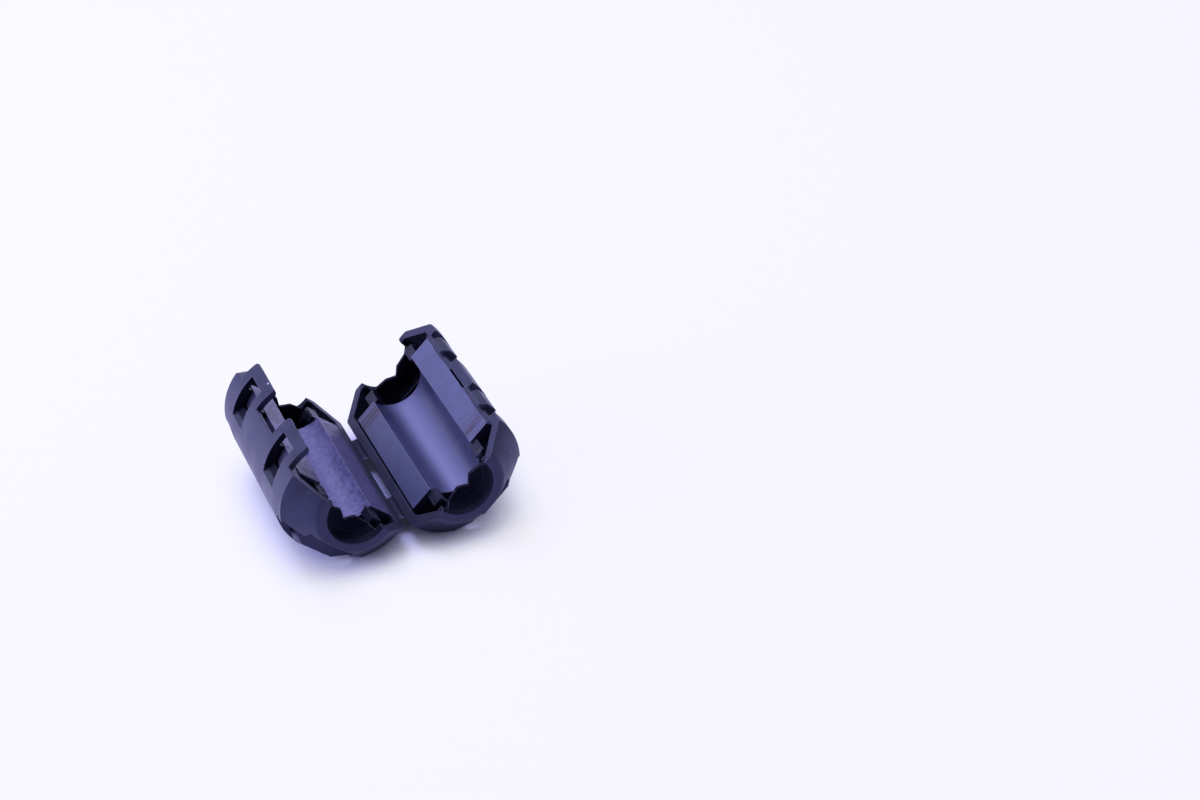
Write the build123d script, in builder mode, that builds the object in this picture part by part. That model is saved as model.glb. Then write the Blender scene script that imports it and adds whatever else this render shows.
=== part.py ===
"""Clip-on ferrite bead: a hinged two-shell housing that holds two halves of a ferrite core.

Each half is drawn in the closed bead's frame: the cable channel runs along Y, the halves
meet in the XY plane, the hinge is on the -X side and the latches are on the +X side.
The catch half lies below the parting plane and the latch half above it.
At the end both halves are swung open about the hinge and stand on their backs, +Z up.
"""

import os
from math import cos, radians, sin

from build123d import *

os.makedirs("parts", exist_ok=True)

# Ferrite core
core_length = 24.0
core_radius = 7.7
bore_radius = 4.2
core_face_gap = 0.03

# Housing: a straight barrel with a 45 degree cone at each end
body_length = 35.0
body_radius = 9.4
barrel_half_length = 13.7
wall = 1.35
cone_wall = 1.2
end_wall = 1.1
cable_hole_radius = 4.1
parting_gap = 0.05
end_face_round = 0.8
hole_rim_chamfer = 0.25
rim_chamfer = 0.15

# Cable grip: a thin bowl with a notched edge behind each cable hole
grip_root = 16.9
grip_root_radius = 4.3
grip_knee = 15.6
grip_knee_radius = 3.4
grip_tip = 15.0
grip_tip_radius = 1.3
grip_thickness = 0.4
grip_edge_depth = 1.1
grip_corner_x = 1.2
grip_notch_depth = 2.1

# Cradle ribs that carry the core
rib_width = 1.2
rib_pitch = 8.5
rib_top_angle = 12.0
rib_overlap = 0.2

# Openings in the back, one over each core hook
pocket_x = 5.0
pocket_width = 3.3
pocket_y = 13.55
pocket_length = 5.1
pocket_top = 6.3
pocket_round = 1.2

# Core hooks: a web from the end wall, a post and a nose against the core's end
hook_x = 4.4
hook_width = 1.5
hook_top = 0.35
hook_back = 14.8
hook_nose_depth = 1.5
hook_nose_root = 13.6
hook_web_top = 1.7
hook_web_bottom = 2.95
hook_post = 14.3
hook_root = 16.6
hook_round = 0.3

# Tongues on the back, between the openings, each with a lip that stops the core's end
tongue_width = 6.0
tongue_end = 14.2
tongue_end_depth = 8.05
tongue_shoulder = 12.6
tongue_depth = 8.75
tongue_root = 10.8
tongue_top = 7.9
tongue_edge_chamfer = 0.6
lip_back = 12.3
tongue_gap_width = 7.6
ring_depth = 5.3

# Shallow panel along the back
panel_length = 16.7
panel_half_angle = 25.0
panel_recess = 0.2

# Latches: two tabs on the latch half snap over two catches on the catch half
latch_pitch = 7.6
tab_width = 8.0
tab_thickness = 0.85
tab_end_angle = 21.3
tab_root_angle = 4.0
tab_corner_round = 0.6
tab_lead_in = 0.35
window_width = 4.35
window_end_angle = 11.0
window_through_angle = 18.5
window_ramp_angle = 27.5
recess_clearance = 0.15
recess_end_angle = 22.6
recess_ramp_angle = 31.0
catch_width = 4.0
catch_end_angle = 10.3
catch_ramp_angle = 0.5
catch_height = 1.0
catch_top_radius = 8.7
catch_corner_round = 0.9
latch_block_radius = 7.75
latch_block_width = 10.0
latch_block_angle = 28.0
rebate_depth = 0.85
rebate_angle = 9.0

# Hinge: two moulded straps, outside the barrel, and how far the bead stands open
hinge_offset = 9.85
half_tilt = 42.5
strap_width = 5.5
strap_pitch = 7.85
strap_thickness = 0.35
strap_half_span = 1.5
strap_dip = 0.55
strap_root = 0.75

# Worked out from the sizes above
half_length = body_length / 2
end_radius = body_radius - (half_length - barrel_half_length)
cavity_radius = body_radius - wall
cavity_end = half_length - end_wall
cavity_cone_sum = body_radius + barrel_half_length - cone_wall / cos(radians(45))
tab_radius = body_radius - tab_thickness
recess_radius = tab_radius - recess_clearance
beyond = 2 * body_radius
opening_angle = 180 - 2 * half_tilt
pocket_end = pocket_y - pocket_length / 2
hinge_height = body_radius - hinge_offset * sin(radians(half_tilt))


def polar(radius, angle):
    """A point of the bead's cross-section, its angle in degrees from +X towards +Z."""
    return (radius * cos(radians(angle)), radius * sin(radians(angle)))


def ring_sector(inner, outer, start, end):
    """A sector of a ring round the bead's axis."""
    with BuildSketch() as sector:
        with BuildLine():
            CenterArc((0, 0), inner, start, end - start)
            Line(polar(inner, end), polar(outer, end))
            CenterArc((0, 0), outer, start, end - start)
            Line(polar(outer, start), polar(inner, start))
        make_face()
    return sector.sketch


def on_outer_profile(edge):
    """Whether an edge of the rim lies along the outside of the barrel or of a cone."""
    middle = edge.center()
    profile_radius = min(body_radius, body_radius + barrel_half_length - abs(middle.Y))
    return abs(abs(middle.X) - profile_radius) < rim_chamfer


def back_tongue(side):
    """One tongue, with its lower edges chamfered."""
    with BuildPart() as tongue:
        with BuildSketch(Plane.YZ):
            Polygon(
                (side * lip_back, -pocket_top),
                (side * tongue_end, -pocket_top),
                (side * tongue_end, -tongue_end_depth),
                (side * tongue_shoulder, -tongue_depth),
                (side * tongue_root, -tongue_depth),
                (side * tongue_root, -tongue_top),
                (side * lip_back, -tongue_top),
                align=None,
            )
        extrude(amount=tongue_width / 2, both=True)
        lower_edges = tongue.edges().filter_by(Axis.X, reverse=True)
        lower_edges = lower_edges.filter_by_position(Axis.Z, -tongue_depth, -tongue_end_depth)
        chamfer(lower_edges, tongue_edge_chamfer)
    return tongue.part


def half_housing():
    """What both halves of the housing share, drawn below the parting plane."""
    with BuildPart() as half:
        # Cable grips
        with BuildSketch(Plane.YZ):
            with BuildLine():
                Polyline(
                    (grip_root, grip_root_radius),
                    (grip_knee, grip_knee_radius),
                    (grip_tip, grip_tip_radius),
                )
                offset(amount=grip_thickness, kind=Kind.INTERSECTION, side=Side.RIGHT)
            make_face()
            mirror(about=Plane.YZ)
        revolve(axis=Axis.Y)
        with BuildSketch(Plane.XZ):
            Polygon(
                (-beyond, -grip_edge_depth),
                (-grip_corner_x, -grip_edge_depth),
                (0, -grip_notch_depth),
                (grip_corner_x, -grip_edge_depth),
                (beyond, -grip_edge_depth),
                (beyond, beyond),
                (-beyond, beyond),
                align=None,
            )
        extrude(amount=half_length, both=True, mode=Mode.SUBTRACT)

        # Barrel, cones and end walls
        with BuildSketch(Plane.YZ) as wall_section:
            Polygon(
                (-half_length, cable_hole_radius),
                (-half_length, end_radius),
                (-barrel_half_length, body_radius),
                (barrel_half_length, body_radius),
                (half_length, end_radius),
                (half_length, cable_hole_radius),
                (cavity_end, cable_hole_radius),
                (cavity_end, cavity_cone_sum - cavity_end),
                (cavity_cone_sum - cavity_radius, cavity_radius),
                (cavity_radius - cavity_cone_sum, cavity_radius),
                (-cavity_end, cavity_cone_sum - cavity_end),
                (-cavity_end, cable_hole_radius),
                align=None,
            )
            end_corners = wall_section.vertices().group_by(Axis.X)
            fillet(
                [end_corners[0].sort_by(Axis.Y)[-1], end_corners[-1].sort_by(Axis.Y)[-1]],
                end_face_round,
            )
            end_corners = wall_section.vertices().group_by(Axis.X)
            chamfer(
                [end_corners[0].sort_by(Axis.Y)[0], end_corners[-1].sort_by(Axis.Y)[0]],
                hole_rim_chamfer,
            )
        revolve(axis=Axis.Y)

        # Cradle ribs, kept below the rim
        for y in (-rib_pitch, 0, rib_pitch):
            with BuildSketch(Plane.XZ.offset(y)):
                add(
                    ring_sector(core_radius, cavity_radius + rib_overlap, rib_top_angle - 180, -rib_top_angle)
                )
            extrude(amount=rib_width / 2, both=True)
        split(bisect_by=Plane.XY.offset(-parting_gap), keep=Keep.BOTTOM)
        rim_edges = half.edges().group_by(Axis.Z)[-1].filter_by(GeomType.LINE)
        chamfer(rim_edges.filter_by(on_outer_profile), rim_chamfer)

        # Openings over the hooks, and the gap between them
        with BuildSketch(Plane.XY.offset(-beyond)):
            with GridLocations(2 * pocket_x, 2 * pocket_y, 2, 2):
                RectangleRounded(pocket_width, pocket_length, pocket_round)
        extrude(amount=beyond - pocket_top, mode=Mode.SUBTRACT)
        with BuildSketch(Plane.YZ):
            for side in (-1, 1):
                Polygon(
                    (side * beyond, -ring_depth),
                    (side * tongue_end, -ring_depth),
                    (side * tongue_end, -pocket_top),
                    (side * pocket_end, -pocket_top),
                    (side * pocket_end, -beyond),
                    (side * beyond, -beyond),
                    align=None,
                )
        extrude(amount=tongue_gap_width / 2, both=True, mode=Mode.SUBTRACT)
        for side in (-1, 1):
            add(back_tongue(side))

        # Core hooks
        for x in (-hook_x, hook_x):
            with BuildSketch(Plane.YZ.offset(x)):
                for side in (-1, 1):
                    Polygon(
                        (side * core_length / 2, -hook_top),
                        (side * hook_back, -hook_top),
                        (side * (hook_back + hook_round), -hook_web_top),
                        (side * hook_root, -hook_web_top),
                        (side * hook_root, -hook_web_bottom),
                        (side * hook_post, -hook_web_bottom),
                        (side * hook_nose_root, -hook_nose_depth),
                        (side * core_length / 2, -hook_nose_depth),
                        align=None,
                    )
            extrude(amount=hook_width / 2, both=True)

        # Shallow panel along the back
        with BuildSketch(Plane.XZ):
            add(
                ring_sector(
                    body_radius - panel_recess, beyond, -90 - panel_half_angle, -90 + panel_half_angle
                )
            )
        extrude(amount=panel_length / 2, both=True, mode=Mode.SUBTRACT)
    return half.part


def half_core():
    """Half of the ferrite core, drawn below the parting plane."""
    with BuildPart() as half:
        with BuildSketch(Plane.XZ):
            Circle(core_radius)
            Circle(bore_radius, mode=Mode.SUBTRACT)
        extrude(amount=core_length / 2, both=True)
        split(bisect_by=Plane.XY.offset(-core_face_gap), keep=Keep.BOTTOM)
    return half.part


def latch_tab():
    """One tab, in line with the barrel, with rounded corners at its free end."""
    with BuildPart() as tab:
        with BuildSketch(Plane.XZ):
            add(ring_sector(tab_radius, body_radius, -tab_end_angle, tab_root_angle))
        extrude(amount=tab_width / 2, both=True)
        chamfer(tab.edges().filter_by(Axis.Y).sort_by(Axis.Z)[:2].sort_by(Axis.X)[0], tab_lead_in)
        tab_end = body_radius * sin(radians(tab_end_angle))
        with BuildSketch(Plane.YZ) as outline:
            with Locations((0, (body_radius - tab_end) / 2)):
                Rectangle(tab_width, body_radius + tab_end)
            fillet(outline.vertices().group_by(Axis.Y)[0], tab_corner_round)
        extrude(amount=beyond, mode=Mode.INTERSECT)
    return tab.part


def latch_window():
    """What is cut away for one window and the ramp that runs out from it."""
    with BuildPart() as window:
        with BuildSketch(Plane.XZ):
            Polygon(
                polar(core_radius, -window_end_angle),
                polar(beyond, -window_end_angle),
                polar(beyond, window_ramp_angle),
                polar(body_radius, window_ramp_angle),
                polar(cavity_radius, window_through_angle),
                polar(core_radius, window_through_angle),
                align=None,
            )
        extrude(amount=window_width / 2, both=True)
    return window.part


def latch_recess():
    """What is cut away for one tab and the thumb ramp beyond its end."""
    with BuildPart() as recess:
        with BuildSketch(Plane.XZ):
            add(ring_sector(recess_radius, beyond, -recess_end_angle, recess_end_angle))
            Polygon(
                polar(recess_radius, -recess_end_angle),
                polar(body_radius, -recess_ramp_angle),
                polar(beyond, -recess_ramp_angle),
                polar(beyond, -recess_end_angle),
                align=None,
            )
        extrude(amount=tab_width / 2 + recess_clearance, both=True)
    return recess.part


def latch_catch():
    """One catch, with a ramp that spreads the tab as the bead is closed."""
    with BuildPart() as catch:
        with BuildSketch(Plane.XZ):
            with BuildLine():
                CenterArc((0, 0), body_radius, -catch_end_angle, catch_end_angle - catch_ramp_angle)
                Polyline(
                    polar(body_radius, -catch_ramp_angle),
                    (catch_top_radius, catch_height),
                    (recess_radius - recess_clearance, catch_height),
                    polar(recess_radius - recess_clearance, -catch_end_angle),
                    polar(body_radius, -catch_end_angle),
                )
            make_face()
        extrude(amount=catch_width / 2, both=True)
        with BuildSketch(Plane.YZ) as outline:
            with Locations((0, catch_height - body_radius / 2)):
                Rectangle(catch_width, body_radius)
            fillet(outline.vertices().group_by(Axis.Y)[-1], catch_corner_round)
        extrude(amount=beyond, mode=Mode.INTERSECT)
    return catch.part


def hinge_strap(y):
    """One strap's full width and thickness, its ends run on into both barrels."""
    with BuildPart() as bar:
        with BuildSketch(Plane.XZ.offset(-y)):
            with BuildLine():
                ThreePointArc(
                    (-strap_half_span, hinge_height),
                    (0, hinge_height - strap_dip),
                    (strap_half_span, hinge_height),
                )
                Line(
                    (strap_half_span, hinge_height),
                    (strap_half_span, hinge_height - strap_thickness),
                )
                ThreePointArc(
                    (strap_half_span, hinge_height - strap_thickness),
                    (0, hinge_height - strap_dip - strap_thickness),
                    (-strap_half_span, hinge_height - strap_thickness),
                )
                Line(
                    (-strap_half_span, hinge_height - strap_thickness),
                    (-strap_half_span, hinge_height),
                )
            make_face()
        extrude(amount=strap_width / 2, both=True)
    return bar.part


housing_half = half_housing()
core_half = half_core()
strap_bars = {
    "hinge_strap_front": hinge_strap(-strap_pitch),
    "hinge_strap_back": hinge_strap(strap_pitch),
}
tab = latch_tab()
window = latch_window()
recess = latch_recess()
catch = latch_catch()

# Places of the two halves, swung open about the hinge line above the Y axis
to_hinge = Location((hinge_offset, 0, 0))
catch_place = Location((0, 0, hinge_height), (0, -half_tilt, 0)) * to_hinge
latch_place = Location((0, 0, hinge_height), (0, -half_tilt - opening_angle, 0)) * to_hinge
turned_over = Location((0, 0, 0), (0, 180, 0))

# Catch half of the housing
with BuildPart() as closed_catch:
    add(housing_half)
    for y in (-latch_pitch, latch_pitch):
        with BuildSketch(Plane.XZ.offset(y)):
            add(ring_sector(latch_block_radius, body_radius - wall / 2, -latch_block_angle, 0))
        extrude(amount=latch_block_width / 2, both=True)
    split(bisect_by=Plane.XY.offset(-parting_gap), keep=Keep.BOTTOM)
    with Locations((0, -latch_pitch, 0), (0, latch_pitch, 0)):
        add(recess, mode=Mode.SUBTRACT)
        add(catch)
with BuildPart() as catch_shell:
    for strap_bar in strap_bars.values():
        add(strap_bar)
    split(bisect_by=Plane.YZ.offset(strap_root), keep=Keep.TOP)
    add(closed_catch.part.moved(catch_place))
catch_shell.part.label = "catch_shell"
export_step(catch_shell.part, "parts/catch_shell.step")

# Latch half of the housing
with BuildPart() as closed_latch:
    add(housing_half.moved(turned_over))
    with BuildSketch(Plane.XZ):
        add(ring_sector(core_radius, cavity_radius + rebate_depth, -rebate_angle, rebate_angle))
    extrude(amount=latch_pitch - tab_width / 2, both=True, mode=Mode.SUBTRACT)
    with Locations((0, -latch_pitch, 0), (0, latch_pitch, 0)):
        add(tab)
        add(window, mode=Mode.SUBTRACT)
with BuildPart() as latch_shell:
    for strap_bar in strap_bars.values():
        add(strap_bar)
    split(bisect_by=Plane.YZ.offset(-strap_root), keep=Keep.BOTTOM)
    add(closed_latch.part.moved(latch_place))
latch_shell.part.label = "latch_shell"
export_step(latch_shell.part, "parts/latch_shell.step")

# Ferrite halves
with BuildPart() as catch_core:
    add(core_half.moved(catch_place))
catch_core.part.label = "catch_core"
export_step(catch_core.part, "parts/catch_core.step")
with BuildPart() as latch_core:
    add(core_half.moved(latch_place * turned_over))
latch_core.part.label = "latch_core"
export_step(latch_core.part, "parts/latch_core.step")

# Hinge straps, bent as they are in the open bead
for name, strap_bar in strap_bars.items():
    with BuildPart() as strap:
        add(strap_bar)
        with BuildSketch(Plane.XZ):
            Rectangle(2 * strap_root, beyond)
        extrude(amount=half_length, both=True, mode=Mode.INTERSECT)
    strap.part.label = name
    export_step(strap.part, f"parts/{name}.step")
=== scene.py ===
"""Looks of the clip-on ferrite bead: finishes, hinge straps, floor, light and camera."""

import math

import bmesh
import bpy
from mathutils import Matrix, Vector


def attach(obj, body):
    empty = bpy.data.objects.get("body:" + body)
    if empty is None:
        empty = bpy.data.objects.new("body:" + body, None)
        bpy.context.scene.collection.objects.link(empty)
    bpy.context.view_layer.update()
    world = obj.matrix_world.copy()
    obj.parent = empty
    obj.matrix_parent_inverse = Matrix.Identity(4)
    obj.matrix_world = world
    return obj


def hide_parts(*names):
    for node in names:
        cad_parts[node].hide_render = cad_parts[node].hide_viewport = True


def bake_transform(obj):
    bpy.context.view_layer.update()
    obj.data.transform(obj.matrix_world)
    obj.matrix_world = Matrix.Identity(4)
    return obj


MM = 0.001

# The open bead: each half turned up about the hinge, its channel's axis beside the hinge line
HINGE_OFFSET = 9.85
BARREL_RADIUS = 9.4
HALF_TILT = math.radians(42.5)
HINGE_HEIGHT = BARREL_RADIUS - HINGE_OFFSET * math.sin(HALF_TILT)
CATCH_SIDE = 1
LATCH_SIDE = -1

# Places on a half, from its middle and from the channel's axis, with angles in degrees
CORE_HALF_LENGTH = 12.0
BORE_RADIUS = 4.2
CAVITY_RADIUS = 8.1
CAVITY_CONE_SUM = 21.4
RING_INNER = 17.2
GRIP_RADIUS = 4.28
GRIP_TIP = 14.8
HOOK_PLACE = 4.4
HOOK_HALF_WIDTH = 0.75
HOOK_BACK = 15.1
HOOK_BOTTOM = 2.95
LATCH_PITCH = 7.6
LATCH_FOOT_ANGLE = -23
WINDOW_HALF_WIDTH = 2.175
WINDOW_RAMP_ANGLES = (18.6, 27.5)
RECESS_HALF_WIDTH = 4.15
RECESS_RAMP_ANGLES = (22.8, 31.0)
TAB_FLECK = (8.86, 5.89, 3.14)
CONE_FLECK = (6.73, -15.0, -4.09)

# Lining of the gap between the tongue and the end ring, on the back of each end
GAP_WIDTH = 7.7
GAP_INNER = 13.95
GAP_OUTER = 16.6
GAP_DEPTH = 5.28
GAP_THICKNESS = 0.3
GAP_WALL_TOP = 4.6
GAP_WALL_SHOULDER = 5.2
GAP_SHOULDER_DEPTH = 6.35
GAP_WALL_FOOT = 2.45
GAP_FOOT_DEPTH = 8.03

# Hinge straps: two webs between moulded roots, along the arc that the roots begin
STRAP_PITCH = 7.85
STRAP_WIDTH = 5.48
STRAP_THICKNESS = 0.34
STRAP_DIP = 0.55
STRAP_HALF_SPAN = 1.5
STRAP_ROOT = 0.75
STRAP_OVERLAP = 0.06
STRAP_NECK = 0.05
STRAP_THINNING = 0.35
STRAP_SQUARENESS = 14.0

# Tones in linear red, green and blue, in pairs where a dark one shades into a pale one
NYLON_TONES = ((0.0135, 0.0130, 0.028), (0.0195, 0.0187, 0.039))
NYLON_CUT_TONES = ((0.005, 0.005, 0.008), (0.026, 0.027, 0.034))
NYLON_RUBBED = (0.036, 0.035, 0.064)
NYLON_EDGE_HIGHLIGHT = (0.11, 0.11, 0.20)
NYLON_PAINTED_SHADE = (0.004, 0.004, 0.009)
NYLON_DUST = (0.40, 0.39, 0.52)
NYLON_SHEEN = (0.53, 0.53, 1.0, 1)
STRAP_TONES = ((0.0030, 0.0022, 0.0090), (0.0090, 0.0070, 0.0220))
STRAP_GLINT = (0.45, 0.44, 0.62)
STRAP_SHEEN = (0.55, 0.45, 1.0, 1)
FERRITE_TONES = ((0.020, 0.017, 0.042), (0.031, 0.026, 0.062))
FERRITE_BLOOM = (0.12, 0.12, 0.25)
FERRITE_SETTLED = (0.235, 0.200, 0.420)
FERRITE_STAIN = (0.054, 0.027, 0.040)
FERRITE_EDGE_HIGHLIGHT = (0.30, 0.29, 0.46)
FERRITE_PIT = (0.02, 0.02, 0.04)
FERRITE_DUST = (0.40, 0.38, 0.54)
FERRITE_SHEEN = (0.68, 0.68, 1.0, 1)
CLEAN_BORE_SHADE_HIGHLIGHT = ((0.026, 0.029, 0.075), (0.118, 0.122, 0.250))
CLEAN_FACE_TONES = ((0.044, 0.048, 0.112), (0.066, 0.071, 0.156))
DUSTY_BORE_SHADE_HIGHLIGHT = ((0.066, 0.064, 0.155), (0.086, 0.084, 0.200))
DUSTY_FACE_TONES = ((0.056, 0.050, 0.128), (0.092, 0.078, 0.180))
FLOOR_SHADOW_TONES = ((0.34, 0.34, 0.70), (0.82, 0.80, 0.99))
FLOOR_SEEN_SHADOW_TONES = ((0.55, 0.545, 0.90), (0.95, 0.945, 1.0))
FLOOR_MIRRORED = (1.15, 1.12, 1.80)
ROOM_COLOUR = (0.69, 0.70, 1.0, 1)
SOFTBOX_COLOUR = (0.68, 0.69, 1.0)

# The camera found from the photograph
CAMERA_PLACE = (-65.26, -255.28, 183.095)
CAMERA_AZIMUTH = math.radians(21.236)
CAMERA_ELEVATION = math.radians(33.043)
CAMERA_ROLL = math.radians(-3.157)
SENSOR_WIDTH = 36
CAMERA_LENS = 69

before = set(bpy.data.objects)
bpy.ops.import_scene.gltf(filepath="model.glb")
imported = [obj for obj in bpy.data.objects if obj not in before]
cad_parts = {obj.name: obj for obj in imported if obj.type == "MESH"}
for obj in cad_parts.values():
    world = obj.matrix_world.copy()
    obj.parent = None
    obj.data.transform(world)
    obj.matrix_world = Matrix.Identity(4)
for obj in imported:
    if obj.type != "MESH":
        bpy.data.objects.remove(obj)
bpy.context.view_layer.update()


# Node helpers
def new_material(name):
    """An empty node material with its shader and output."""
    material = bpy.data.materials.new(name)
    material.use_nodes = True
    tree = material.node_tree
    tree.nodes.clear()
    output = tree.nodes.new("ShaderNodeOutputMaterial")
    shader = tree.nodes.new("ShaderNodeBsdfPrincipled")
    tree.links.new(shader.outputs["BSDF"], output.inputs["Surface"])
    return material, tree, shader


def set_input(tree, socket, value):
    """Give a socket a value, or link it to another node's socket."""
    if isinstance(value, bpy.types.NodeSocket):
        tree.links.new(value, socket)
    else:
        socket.default_value = value


def add_node(tree, kind, inputs=(), **settings):
    """A node with its settings and its inputs, each a value or another node's socket."""
    node = tree.nodes.new(kind)
    for key, value in settings.items():
        setattr(node, key, value)
    for key, value in dict(inputs).items():
        set_input(tree, node.inputs[key], value)
    return node


def finish_shader(tree, shader, inputs):
    """Give the shader its inputs."""
    for key, value in inputs.items():
        set_input(tree, shader.inputs[key], value)


def calculate(tree, operation, first, second=0.0, third=0.0):
    """One sum on up to three numbers or sockets."""
    return add_node(
        tree, "ShaderNodeMath", {0: first, 1: second, 2: third}, operation=operation
    ).outputs[0]


def product(tree, *factors):
    """The product of numbers or sockets."""
    result = factors[0]
    for factor in factors[1:]:
        result = calculate(tree, "MULTIPLY", result, factor)
    return result


def greatest(tree, *values):
    """The greatest of numbers or sockets."""
    result = values[0]
    for value in values[1:]:
        result = calculate(tree, "MAXIMUM", result, value)
    return result


def remainder(tree, share):
    """What a share leaves of 1."""
    return calculate(tree, "SUBTRACT", 1.0, share)


def distance_from(tree, value, place):
    """How far a coordinate is from a place."""
    return calculate(tree, "ABSOLUTE", calculate(tree, "SUBTRACT", value, place))


def between(tree, value, low, high, start=0.0, end=1.0):
    """A soft step: start below low, end above high."""
    node = add_node(
        tree,
        "ShaderNodeMapRange",
        {"Value": value, "From Min": low, "From Max": high, "To Min": start, "To Max": end},
        interpolation_type="SMOOTHSTEP",
    )
    return node.outputs["Result"]


def blend_colours(tree, share, under, over):
    """Colour under, with colour over laid on it by a share from 0 to 1."""
    node = add_node(tree, "ShaderNodeMix", {0: share}, data_type="RGBA")
    for socket, colour in ((node.inputs[6], under), (node.inputs[7], over)):
        set_input(tree, socket, (*colour, 1) if isinstance(colour, tuple) else colour)
    return node.outputs[2]


def noise(tree, place, scale, detail, stretch=None):
    """A noise from 0 to 1, its scale in features a millimetre, stretched along some axes if asked."""
    if stretch:
        place = scaled(tree, place, stretch)
    return add_node(
        tree, "ShaderNodeTexNoise", {"Vector": place, "Scale": scale, "Detail": detail}
    ).outputs["Fac"]


def scaled(tree, place, scale):
    """A point with its coordinates scaled."""
    return add_node(
        tree, "ShaderNodeMapping", {"Vector": place, "Scale": scale}
    ).outputs["Vector"]


def apart(tree, place):
    """The three coordinates of a point."""
    return add_node(tree, "ShaderNodeSeparateXYZ", {"Vector": place}).outputs[:3]


def half_coordinates(tree, side):
    """A point in its own half's frame, in millimetres: X towards the latch, Y along the channel,
    Z up out of the rim, with the origin on the channel's axis."""
    place = add_node(tree, "ShaderNodeTexCoord").outputs["Object"]
    turn = Matrix.Rotation(HALF_TILT, 3, "Y")
    shift = -(turn @ Vector((0, 0, HINGE_HEIGHT))) - Vector((HINGE_OFFSET, 0, 0))
    return add_node(
        tree,
        "ShaderNodeMapping",
        {
            "Vector": place,
            "Location": shift,
            "Rotation": (0, HALF_TILT, 0),
            "Scale": (side / MM, 1 / MM, 1 / MM),
        },
    ).outputs["Vector"]


def channel_radius(tree, place):
    """How far a point is from the channel's axis."""
    flat = scaled(tree, place, (1, 0, 1))
    return add_node(tree, "ShaderNodeVectorMath", {0: flat}, operation="LENGTH").outputs["Value"]


# Wear, dust, and edges with a painted highlight
def worn_and_highlit_edges(tree, radius):
    """The rounded normal, and a mask that is 1 on the edges, which handling has polished and where a
    painted highlight goes.
    """
    bevel = add_node(tree, "ShaderNodeBevel", {"Radius": radius * MM}, samples=6)
    rounded = bevel.outputs["Normal"]
    straight = add_node(tree, "ShaderNodeNewGeometry").outputs["Normal"]
    match = add_node(
        tree, "ShaderNodeVectorMath", {0: rounded, 1: straight}, operation="DOT_PRODUCT"
    )
    return rounded, between(tree, match.outputs["Value"], 0.995, 0.88)


def specks(tree, place, scale, share, size):
    """Small round grains: a mask from cells, of which only a share hold one."""
    cells = add_node(tree, "ShaderNodeTexVoronoi", {"Vector": place, "Scale": scale})
    chosen = calculate(tree, "LESS_THAN", apart(tree, cells.outputs["Color"])[0], share)
    return product(tree, chosen, between(tree, cells.outputs["Distance"], size, size * 0.4))


def fleck(tree, place, at, size):
    """One pale grain at a point of a half."""
    apart_by = add_node(tree, "ShaderNodeVectorMath", {0: place, 1: at}, operation="DISTANCE")
    return between(tree, apart_by.outputs["Value"], size, size * 0.5)


def bumps(tree, heights, normal):
    """Bump nodes one after another, each with its height, strength and depth in millimetres."""
    for height, strength, depth in heights:
        normal = add_node(
            tree,
            "ShaderNodeBump",
            {"Height": height, "Strength": strength, "Distance": depth * MM, "Normal": normal},
        ).outputs["Normal"]
    return normal


# Masks, each 1 on one feature of a half and 0 elsewhere
def latch_ramp(tree, across, from_middle, height, radius, angles, half_width):
    """The ramps that run out through the barrel below each latch."""
    slope = calculate(tree, "ARCTAN2", product(tree, height, -1.0), across)
    low_angle, high_angle = (math.radians(angle) for angle in angles)
    from_latch = distance_from(tree, from_middle, LATCH_PITCH)
    return product(
        tree,
        between(tree, slope, low_angle - 0.005, low_angle + 0.005),
        between(tree, slope, high_angle + 0.005, high_angle - 0.005),
        between(tree, from_latch, half_width + 0.02, half_width - 0.02),
        between(tree, radius, BARREL_RADIUS - 0.02, BARREL_RADIUS - 0.06),
    )


def window_wall(tree, across, from_middle, height, radius):
    """The walls inside the windows, above their ramps."""
    slope = calculate(tree, "ARCTAN2", height, across)
    from_latch = distance_from(tree, from_middle, LATCH_PITCH)
    foot = math.radians(LATCH_FOOT_ANGLE)
    return product(
        tree,
        between(tree, slope, foot - math.radians(2), foot),
        between(tree, from_latch, WINDOW_HALF_WIDTH + 0.05, WINDOW_HALF_WIDTH + 0.03),
        between(tree, radius, BARREL_RADIUS - 0.03, BARREL_RADIUS - 0.10),
    )


def cable_grip(tree, from_middle, radius):
    """The toothed grips round the cable."""
    return product(
        tree,
        between(tree, radius, GRIP_RADIUS, GRIP_RADIUS - 0.1),
        between(tree, from_middle, GRIP_TIP - 0.1, GRIP_TIP),
    )


def cavity_end(tree, from_middle, height, radius):
    """The inner walls beyond the core's ends."""
    cone_sum = calculate(tree, "ADD", from_middle, radius)
    return product(
        tree,
        between(tree, cone_sum, CAVITY_CONE_SUM + 0.3, CAVITY_CONE_SUM + 0.1),
        between(tree, from_middle, CORE_HALF_LENGTH + 0.05, CORE_HALF_LENGTH + 0.15),
        between(tree, from_middle, RING_INNER, RING_INNER - 0.1),
        between(tree, radius, CAVITY_RADIUS + 0.1, CAVITY_RADIUS),
        between(tree, height, -GAP_DEPTH - 0.1, -GAP_DEPTH),
    )


def core_hook(tree, across, from_middle, height):
    """The glossy hooks that hold the core's ends."""
    from_hook = distance_from(tree, calculate(tree, "ABSOLUTE", across), HOOK_PLACE)
    return product(
        tree,
        between(tree, from_hook, HOOK_HALF_WIDTH + 0.06, HOOK_HALF_WIDTH + 0.02),
        between(tree, from_middle, HOOK_BACK + 0.05, HOOK_BACK),
        between(tree, height, -HOOK_BOTTOM - 0.05, -HOOK_BOTTOM),
    )


def bore_highlight_band(tree, across, height):
    """The lowest strip of the channel, where the bore gets a painted highlight."""
    slope = calculate(tree, "ARCTAN2", across, product(tree, height, -1.0))
    return product(
        tree,
        between(tree, slope, math.radians(-70), math.radians(-28)),
        between(tree, slope, math.radians(32), math.radians(-18)),
    )


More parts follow.
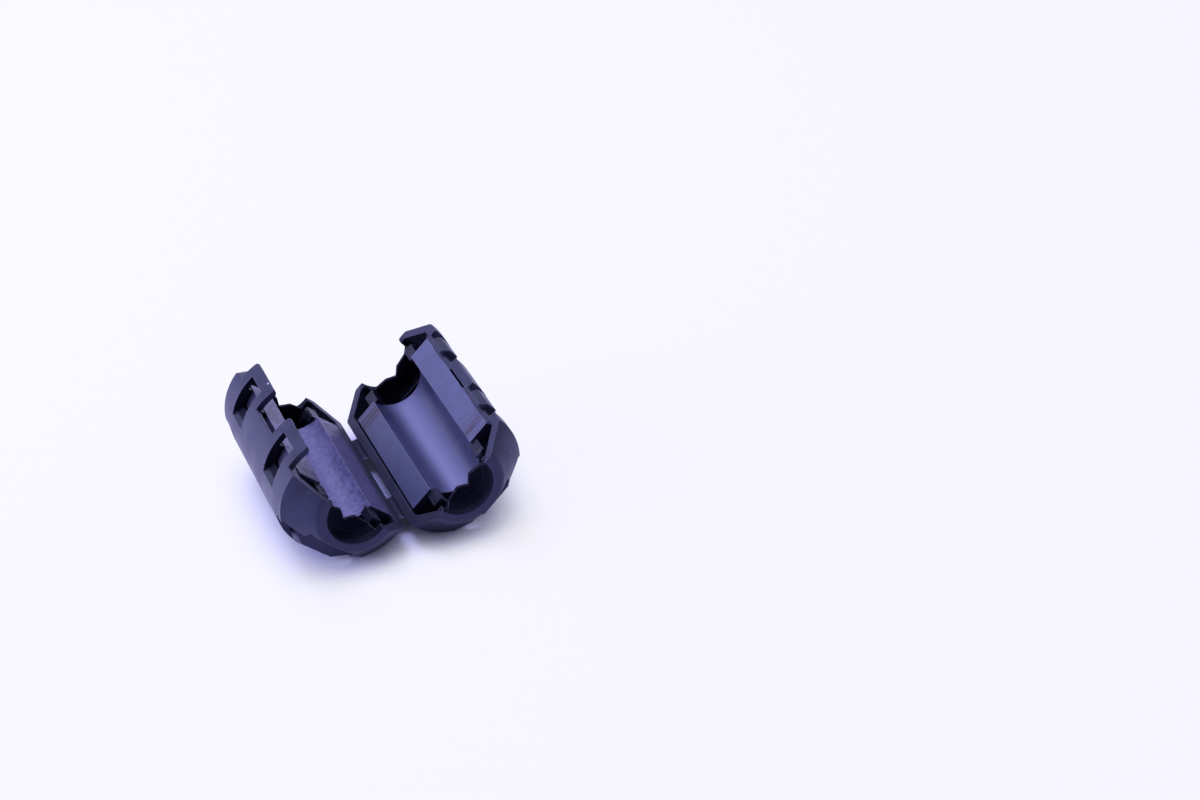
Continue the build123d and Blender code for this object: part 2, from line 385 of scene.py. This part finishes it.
# Hinge
def strap_tree(sizes):
    """A node tree for the two straps: each a slab bent to an arc, thinned and necked at the bend."""
    tree = bpy.data.node_groups.new("hinge_straps", "GeometryNodeTree")
    for name in sizes:
        tree.interface.new_socket(name, in_out="INPUT", socket_type="NodeSocketFloat")
    tree.interface.new_socket("Finish", in_out="INPUT", socket_type="NodeSocketMaterial")
    tree.interface.new_socket("Straps", in_out="OUTPUT", socket_type="NodeSocketGeometry")
    given = tree.nodes.new("NodeGroupInput").outputs
    slab_size = add_node(
        tree, "ShaderNodeCombineXYZ", {"X": given["Length"], "Y": given["Width"], "Z": 1.0}
    )
    slab = add_node(
        tree,
        "GeometryNodeMeshCube",
        {"Size": slab_size.outputs["Vector"], "Vertices X": 21, "Vertices Y": 33, "Vertices Z": 3},
    )
    x, y, z = apart(tree, add_node(tree, "GeometryNodeInputPosition").outputs["Position"])
    from_bend = calculate(tree, "DIVIDE", x, product(tree, given["Length"], 0.5))
    bend_share = remainder(tree, calculate(tree, "POWER", from_bend, 2.0))
    from_rim = calculate(tree, "DIVIDE", y, product(tree, given["Width"], 0.5))
    rim_share = calculate(tree, "POWER", calculate(tree, "ABSOLUTE", from_rim), STRAP_SQUARENESS)
    rounding = calculate(tree, "SQRT", remainder(tree, rim_share))
    thinned = remainder(tree, product(tree, given["Thinning"], bend_share))
    lift = product(tree, z, given["Thickness"], thinned, rounding)
    narrow = product(tree, y, remainder(tree, product(tree, given["Neck"], bend_share)))
    squares = calculate(
        tree,
        "SUBTRACT",
        calculate(tree, "POWER", given["Arc Radius"], 2.0),
        calculate(tree, "POWER", x, 2.0),
    )
    arc = calculate(tree, "SUBTRACT", given["Arc Radius"], calculate(tree, "SQRT", squares))
    bent = add_node(
        tree, "ShaderNodeCombineXYZ", {"X": x, "Y": narrow, "Z": calculate(tree, "ADD", arc, lift)}
    )
    strap = add_node(
        tree,
        "GeometryNodeSetPosition",
        {"Geometry": slab.outputs["Mesh"], "Position": bent.outputs["Vector"]},
    )
    smooth = add_node(tree, "GeometryNodeSetShadeSmooth", {"Geometry": strap.outputs["Geometry"]})
    first = add_node(
        tree,
        "ShaderNodeCombineXYZ",
        {"Y": product(tree, given["Pitch"], -1.0), "Z": given["Height"]},
    )
    step = add_node(tree, "ShaderNodeCombineXYZ", {"Y": product(tree, given["Pitch"], 2.0)})
    row = add_node(
        tree,
        "GeometryNodeMeshLine",
        {"Count": 2, "Start Location": first.outputs["Vector"], "Offset": step.outputs["Vector"]},
    )
    pair = add_node(
        tree,
        "GeometryNodeInstanceOnPoints",
        {"Points": row.outputs["Mesh"], "Instance": smooth.outputs["Geometry"]},
    )
    real = add_node(tree, "GeometryNodeRealizeInstances", {"Geometry": pair.outputs["Instances"]})
    finished = add_node(
        tree,
        "GeometryNodeSetMaterial",
        {"Geometry": real.outputs["Geometry"], "Material": given["Finish"]},
    )
    output = tree.nodes.new("NodeGroupOutput")
    tree.links.new(finished.outputs["Geometry"], output.inputs["Straps"])
    return tree


def gap_lining(name, body, side, finish):
    """What closes the gap behind both end rings of one half: a wall on the tongue's end, and a
    plate from its top to the end wall."""
    wall = [
        (-GAP_WALL_TOP, GAP_THICKNESS - GAP_DEPTH),
        (-GAP_WALL_SHOULDER, -GAP_SHOULDER_DEPTH),
        (-GAP_WALL_FOOT, -GAP_FOOT_DEPTH),
        (GAP_WALL_FOOT, -GAP_FOOT_DEPTH),
        (GAP_WALL_SHOULDER, -GAP_SHOULDER_DEPTH),
        (GAP_WALL_TOP, GAP_THICKNESS - GAP_DEPTH),
    ]
    plate = [
        (-GAP_WIDTH / 2, -GAP_DEPTH),
        (GAP_WIDTH / 2, -GAP_DEPTH),
        (GAP_WIDTH / 2, GAP_THICKNESS - GAP_DEPTH),
        (-GAP_WIDTH / 2, GAP_THICKNESS - GAP_DEPTH),
    ]
    turn = Matrix.Rotation(-HALF_TILT, 3, "Y")
    solid = bmesh.new()
    for end in (-1, 1):
        for outline, start, stop in (
            (wall, GAP_INNER, GAP_INNER + GAP_THICKNESS),
            (plate, GAP_INNER + GAP_THICKNESS / 2, GAP_OUTER),
        ):
            rings = []
            for along in (start, stop):
                ring = []
                for across, height in outline:
                    x, y, z = turn @ Vector((across + HINGE_OFFSET, end * along, height))
                    ring.append(solid.verts.new(Vector((side * x, y, z + HINGE_HEIGHT)) * MM))
                rings.append(ring)
            solid.faces.new(rings[0])
            solid.faces.new(reversed(rings[1]))
            for corner in range(len(outline)):
                before = corner - 1
                solid.faces.new(
                    (rings[0][before], rings[1][before], rings[1][corner], rings[0][corner])
                )
    bmesh.ops.recalc_face_normals(solid, faces=solid.faces)
    mesh = bpy.data.meshes.new(name)
    solid.to_mesh(mesh)
    solid.free()
    mesh.materials.append(finish)
    lining = bpy.data.objects.new(name, mesh)
    bpy.context.scene.collection.objects.link(lining)
    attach(lining, body)


def hinge_straps(finish):
    """The two straps as one plain mesh, which takes the place of the model's straps."""
    arc_radius = (STRAP_HALF_SPAN**2 + STRAP_DIP**2) / (2 * STRAP_DIP)
    middle = HINGE_HEIGHT - STRAP_DIP - STRAP_THICKNESS / 2
    lengths = {
        "Length": 2 * (STRAP_ROOT + STRAP_OVERLAP),
        "Width": STRAP_WIDTH,
        "Thickness": STRAP_THICKNESS,
        "Arc Radius": arc_radius,
        "Pitch": STRAP_PITCH,
        "Height": middle,
    }
    sizes = {name: length * MM for name, length in lengths.items()}
    sizes |= {"Thinning": STRAP_THINNING, "Neck": STRAP_NECK}
    tree = strap_tree(sizes)
    straps = bpy.data.objects.new("hinge_straps", bpy.data.meshes.new("hinge_straps"))
    bpy.context.scene.collection.objects.link(straps)
    modifier = straps.modifiers.new("straps", "NODES")
    modifier.node_group = tree
    sockets = {
        item.name: item.identifier for item in tree.interface.items_tree if item.in_out == "INPUT"
    }
    for name, value in (sizes | {"Finish": finish}).items():
        modifier[sockets[name]] = value
    evaluated = straps.evaluated_get(bpy.context.evaluated_depsgraph_get())
    mesh = bpy.data.meshes.new_from_object(evaluated)
    straps.modifiers.clear()
    straps.data = mesh
    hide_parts("hinge_strap_front", "hinge_strap_back")
    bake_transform(straps)


# Finishes
def housing_plastic(name, side, ramp_angles, ramp_half_width, window_shade_share, fleck_at):
    """Black moulded nylon with a blue cast: spark-eroded grain, polished edges with a painted
    highlight, and dust.
    The ramps below the latches keep the cutter's fine lines, and what lies inside is dull and rough,
    and painted dark as shade."""
    material, tree, shader = new_material(name)
    place = half_coordinates(tree, side)
    across, along, height = apart(tree, place)
    radius = channel_radius(tree, place)
    from_middle = calculate(tree, "ABSOLUTE", along)
    cloudy = noise(tree, place, 0.35, 4.0)
    rub = noise(tree, place, 3.0, 3.0, (1, 0.12, 1))
    cutter_lines = noise(tree, place, 1.0, 4.0, (0.5, 9.0, 0.5))
    grain = noise(tree, place, 11.0, 3.0)
    melt = noise(tree, place, 1.3, 2.0)
    rounded, edges = worn_and_highlit_edges(tree, 0.14)

    hook = core_hook(tree, across, from_middle, height)
    grip = cable_grip(tree, from_middle, radius)
    cavity = product(tree, cavity_end(tree, from_middle, height, radius), 0.7)
    # Grips, cavity ends, hooks and window walls: rougher, and painted darker as shade
    matt_and_shade = greatest(
        tree,
        product(tree, greatest(tree, grip, cavity), remainder(tree, edges)),
        product(tree, hook, 0.9),
        product(tree, window_wall(tree, across, from_middle, height, radius), window_shade_share),
    )
    ramp = latch_ramp(tree, across, from_middle, height, radius, ramp_angles, ramp_half_width)
    dust = greatest(
        tree, specks(tree, place, 1.1, 0.07, 0.09), fleck(tree, place, fleck_at, 0.22)
    )

    colour = blend_colours(tree, between(tree, cloudy, 0.3, 0.7), *NYLON_TONES)
    colour = blend_colours(tree, between(tree, rub, 0.5, 0.75, 0.0, 0.30), colour, NYLON_RUBBED)
    cut = blend_colours(tree, between(tree, cutter_lines, 0.35, 0.65), *NYLON_CUT_TONES)
    colour = blend_colours(tree, ramp, colour, cut)
    # Painted highlight: the edges lightened towards a pale blue
    colour = blend_colours(tree, product(tree, edges, 0.5), colour, NYLON_EDGE_HIGHLIGHT)
    # Painted shade in the grips, cavity ends, hooks and window walls
    colour = blend_colours(tree, matt_and_shade, colour, NYLON_PAINTED_SHADE)
    colour = blend_colours(tree, dust, colour, NYLON_DUST)

    rough = between(tree, cloudy, 0.3, 0.7, 0.40, 0.52)
    for mask, share in ((edges, -0.12), (matt_and_shade, 0.35), (hook, -0.42)):
        rough = calculate(tree, "MULTIPLY_ADD", mask, share, rough)
    gloss = greatest(tree, between(tree, matt_and_shade, 0.0, 1.0, 0.5, 0.15), product(tree, hook, 0.4))
    surface = [
        (cloudy, 0.15, 0.2),
        (grain, 0.35, 0.02),
        (product(tree, melt, hook), 0.5, 0.3),
        (dust, 0.6, 0.03),
    ]
    finish_shader(
        tree,
        shader,
        {
            "Base Color": colour,
            "Roughness": rough,
            "Specular IOR Level": gloss,
            "Specular Tint": NYLON_SHEEN,
            "Normal": bumps(tree, surface, rounded),
        },
    )
    return material


def strap_plastic():
    """The straps' nylon: dark, creased where it bends, with a painted glint line at each near edge.
    """
    material, tree, shader = new_material("strap_plastic")
    place = scaled(tree, add_node(tree, "ShaderNodeTexCoord").outputs["Object"], (1 / MM,) * 3)
    from_near_edge = calculate(tree, "ADD", apart(tree, place)[1], STRAP_WIDTH / 2)
    from_glint = distance_from(tree, calculate(tree, "ABSOLUTE", from_near_edge), STRAP_PITCH)
    creases = noise(tree, place, 1.0, 3.0, (6.0, 0.6, 1.0))
    colour = blend_colours(tree, between(tree, creases, 0.35, 0.65), *STRAP_TONES)
    # Painted glint along each strap's near edge
    colour = blend_colours(tree, between(tree, from_glint, 0.16, 0.06), colour, STRAP_GLINT)
    straight = add_node(tree, "ShaderNodeNewGeometry").outputs["Normal"]
    finish_shader(
        tree,
        shader,
        {
            "Base Color": colour,
            "Roughness": 0.42,
            "Specular IOR Level": 0.2,
            "Specular Tint": STRAP_SHEEN,
            "Normal": bumps(tree, [(creases, 0.3, 0.02)], straight),
        },
    )
    return material


def ferrite(name, side, dusting, sheen, bore_shade_highlight, face_tones):
    """Sintered ferrite: satin bore with a painted highlight along its lowest strip and painted shade
    at its sides, ground faces stained at their ends, settled dust, and edges with a painted
    highlight.
    """
    material, tree, shader = new_material(name)
    place = half_coordinates(tree, side)
    across, along, height = apart(tree, place)
    radius = channel_radius(tree, place)
    from_middle = calculate(tree, "ABSOLUTE", along)
    cloudy = noise(tree, place, 0.45, 5.0)
    mottled = noise(tree, place, 1.6, 6.0)
    fine = noise(tree, place, 7.0, 4.0)
    grain = noise(tree, place, 9.0, 3.0)
    grinding_lines = noise(tree, place, 1.0, 3.0, (0.4, 14.0, 0.4))
    streaks = noise(tree, place, 1.0, 4.0, (0.10, 3.2, 0.10))
    rounded, edges = worn_and_highlit_edges(tree, 0.12)

    bore = between(tree, radius, BORE_RADIUS + 0.12, BORE_RADIUS + 0.02)
    ground = between(tree, height, -0.07, -0.045)
    settled = calculate(tree, "MULTIPLY_ADD", mottled, 0.6, product(tree, fine, 0.4))
    tone = calculate(tree, "MULTIPLY_ADD", cloudy, 0.5, product(tree, fine, 0.5))
    stain = product(
        tree,
        between(tree, streaks, 0.44, 0.60),
        between(tree, from_middle, CORE_HALF_LENGTH - 5.0, CORE_HALF_LENGTH - 1.5),
        between(tree, product(tree, across, along), 0.0, -8.0),
    )

    body = blend_colours(tree, between(tree, cloudy, 0.3, 0.7), *FERRITE_TONES)
    # Painted highlight along the bore's lowest strip, painted shade on its sides
    satin = blend_colours(tree, bore_highlight_band(tree, across, height), *bore_shade_highlight)
    satin = blend_colours(tree, between(tree, cloudy, 0.3, 0.7, 0.0, 0.15), satin, FERRITE_BLOOM)
    dusted = between(tree, settled, 0.32, 0.72, 0.0, dusting)
    satin = blend_colours(tree, dusted, satin, FERRITE_SETTLED)
    face = blend_colours(tree, between(tree, tone, 0.35, 0.65), *face_tones)
    face = blend_colours(tree, stain, face, FERRITE_STAIN)
    colour = blend_colours(tree, bore, body, satin)
    colour = blend_colours(tree, ground, colour, face)
    # Painted highlight: the ferrite's edges lightened
    colour = blend_colours(tree, product(tree, edges, 0.6), colour, FERRITE_EDGE_HIGHLIGHT)
    colour = blend_colours(tree, specks(tree, place, 1.4, 0.10, 0.07), colour, FERRITE_PIT)
    dust = specks(tree, place, 2.0, 0.05 + 0.10 * dusting, 0.10)
    colour = blend_colours(tree, dust, colour, FERRITE_DUST)

    surface = [
        (grain, 0.20 + 0.20 * dusting, 0.012),
        (product(tree, grinding_lines, ground), 0.25, 0.012),
        (settled, 0.05 + 0.03 * dusting, 0.03),
    ]
    finish_shader(
        tree,
        shader,
        {
            "Base Color": colour,
            "Roughness": between(tree, mottled, 0.3, 0.7, 0.31, 0.38 + 0.15 * dusting),
            "Specular IOR Level": between(tree, product(tree, stain, ground), 0.0, 1.0, sheen, 0.3),
            "Specular Tint": FERRITE_SHEEN,
            "Normal": bumps(tree, surface, rounded),
        },
    )
    return material


finishes = {
    "catch_shell": housing_plastic(
        "catch_housing",
        CATCH_SIDE,
        RECESS_RAMP_ANGLES,
        RECESS_HALF_WIDTH,
        window_shade_share=0.0,
        fleck_at=CONE_FLECK,
    ),
    "latch_shell": housing_plastic(
        "latch_housing",
        LATCH_SIDE,
        WINDOW_RAMP_ANGLES,
        WINDOW_HALF_WIDTH,
        window_shade_share=0.9,
        fleck_at=TAB_FLECK,
    ),
    "catch_core": ferrite(
        "satin_ferrite",
        CATCH_SIDE,
        dusting=0.08,
        sheen=0.85,
        bore_shade_highlight=CLEAN_BORE_SHADE_HIGHLIGHT,
        face_tones=CLEAN_FACE_TONES,
    ),
    "latch_core": ferrite(
        "dusty_ferrite",
        LATCH_SIDE,
        dusting=0.75,
        sheen=0.5,
        bore_shade_highlight=DUSTY_BORE_SHADE_HIGHLIGHT,
        face_tones=DUSTY_FACE_TONES,
    ),
}
for node_name, finish in finishes.items():
    cad_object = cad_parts[node_name]
    cad_object.data.materials.clear()
    cad_object.data.materials.append(finish)
gap_lining("catch_gap_lining", "catch_half", CATCH_SIDE, finishes["catch_shell"])
gap_lining("latch_gap_lining", "latch_half", LATCH_SIDE, finishes["latch_shell"])
hinge_straps(strap_plastic())


# Floor, light and camera
def seen_as_white(tree):
    """1 for what the camera, a reflection or glass sees, 0 for the light that the surface gives."""
    path = add_node(tree, "ShaderNodeLightPath").outputs
    return greatest(tree, *(path[f"Is {kind} Ray"] for kind in ("Camera", "Glossy", "Transmission")))


def pale_floor():
    """A plain white floor that keeps the object's shadow, with more shadow painted in from occlusion,
    deepest where the bead rests on it.
    """
    bpy.ops.mesh.primitive_plane_add(size=4)
    floor = bpy.context.object
    floor.name = "floor"
    material, tree, shader = new_material("floor_white")
    occlusion = add_node(tree, "ShaderNodeAmbientOcclusion", {"Distance": 10 * MM}, samples=8)
    open_air = occlusion.outputs["AO"]
    # Painted shadow: the floor darker and bluer where the bead occludes it
    colour = blend_colours(tree, between(tree, open_air, 0.05, 0.55), *FLOOR_SHADOW_TONES)
    finish_shader(
        tree, shader, {"Base Color": colour, "Roughness": 0.9, "Specular IOR Level": 0.0}
    )
    mirrored = add_node(tree, "ShaderNodeLightPath").outputs["Is Glossy Ray"]
    # Painted shadow in the white that the camera and reflections see
    pale = blend_colours(tree, between(tree, open_air, 0.15, 0.85), *FLOOR_SEEN_SHADOW_TONES)
    pale = blend_colours(tree, mirrored, pale, FLOOR_MIRRORED)
    white = add_node(tree, "ShaderNodeEmission", {"Color": pale, "Strength": 1.0})
    # In the bead's own reflections the painted shadow reaches further out
    shade_end = calculate(tree, "MULTIPLY_ADD", mirrored, 0.35, 0.12)
    open_floor = between(tree, open_air, shade_end, 0.78, 0.03, 0.90)
    both = add_node(
        tree,
        "ShaderNodeMixShader",
        {
            0: product(tree, seen_as_white(tree), open_floor),
            1: shader.outputs["BSDF"],
            2: white.outputs["Emission"],
        },
    )
    output = next(node for node in tree.nodes if node.type == "OUTPUT_MATERIAL")
    tree.links.new(both.outputs["Shader"], output.inputs["Surface"])
    floor.data.materials.append(material)


def pale_world():
    """A white room, dimmer on the camera's side, seen nearly white and lighting gently."""
    world = bpy.data.worlds.new("studio")
    bpy.context.scene.world = world
    world.use_nodes = True
    tree = world.node_tree
    direction = add_node(tree, "ShaderNodeTexCoord").outputs["Generated"]
    room = between(tree, apart(tree, direction)[1], -0.8, 0.4, 0.38, 1.0)
    in_view = add_node(tree, "ShaderNodeLightPath").outputs["Is Camera Ray"]
    level = between(tree, seen_as_white(tree), 0.0, 1.0, 0.34, 0.96)
    background = tree.nodes["Background"]
    set_input(tree, background.inputs["Color"], ROOM_COLOUR)
    set_input(
        tree, background.inputs["Strength"], product(tree, greatest(tree, room, in_view), level)
    )


def softbox(name, at, size, power):
    """A square softbox that faces the bead."""
    data = bpy.data.lights.new(name, "AREA")
    data.shape = "SQUARE"
    data.size = size
    data.energy = power
    data.color = SOFTBOX_COLOUR
    light = bpy.data.objects.new(name, data)
    bpy.context.scene.collection.objects.link(light)
    light.location = at
    light.rotation_euler = (-Vector(at)).to_track_quat("-Z", "Y").to_euler()


def photo_camera():
    """The camera, from the angles and the place found from the photograph."""
    forward = Vector(
        (
            math.sin(CAMERA_AZIMUTH) * math.cos(CAMERA_ELEVATION),
            math.cos(CAMERA_AZIMUTH) * math.cos(CAMERA_ELEVATION),
            -math.sin(CAMERA_ELEVATION),
        )
    )
    level = Vector((math.cos(CAMERA_AZIMUTH), -math.sin(CAMERA_AZIMUTH), 0))
    upward = level.cross(forward)
    right = math.cos(CAMERA_ROLL) * level + math.sin(CAMERA_ROLL) * upward
    above = -math.sin(CAMERA_ROLL) * level + math.cos(CAMERA_ROLL) * upward
    data = bpy.data.cameras.new("camera")
    data.sensor_width = SENSOR_WIDTH
    data.lens = CAMERA_LENS
    data.clip_start = 0.01
    data.clip_end = 20
    camera = bpy.data.objects.new("camera", data)
    bpy.context.scene.collection.objects.link(camera)
    turn = Matrix((right, above, -forward)).transposed().to_4x4()
    camera.matrix_world = Matrix.Translation(Vector(CAMERA_PLACE) * MM) @ turn
    bpy.context.scene.camera = camera


pale_floor()
pale_world()
softbox("overhead_softbox", (-0.05, 0.22, 0.50), size=0.30, power=3.15)
softbox("left_softbox", (-0.45, 0.10, 0.14), size=0.35, power=3.3)
photo_camera()
bpy.context.scene.view_settings.view_transform = "Standard"
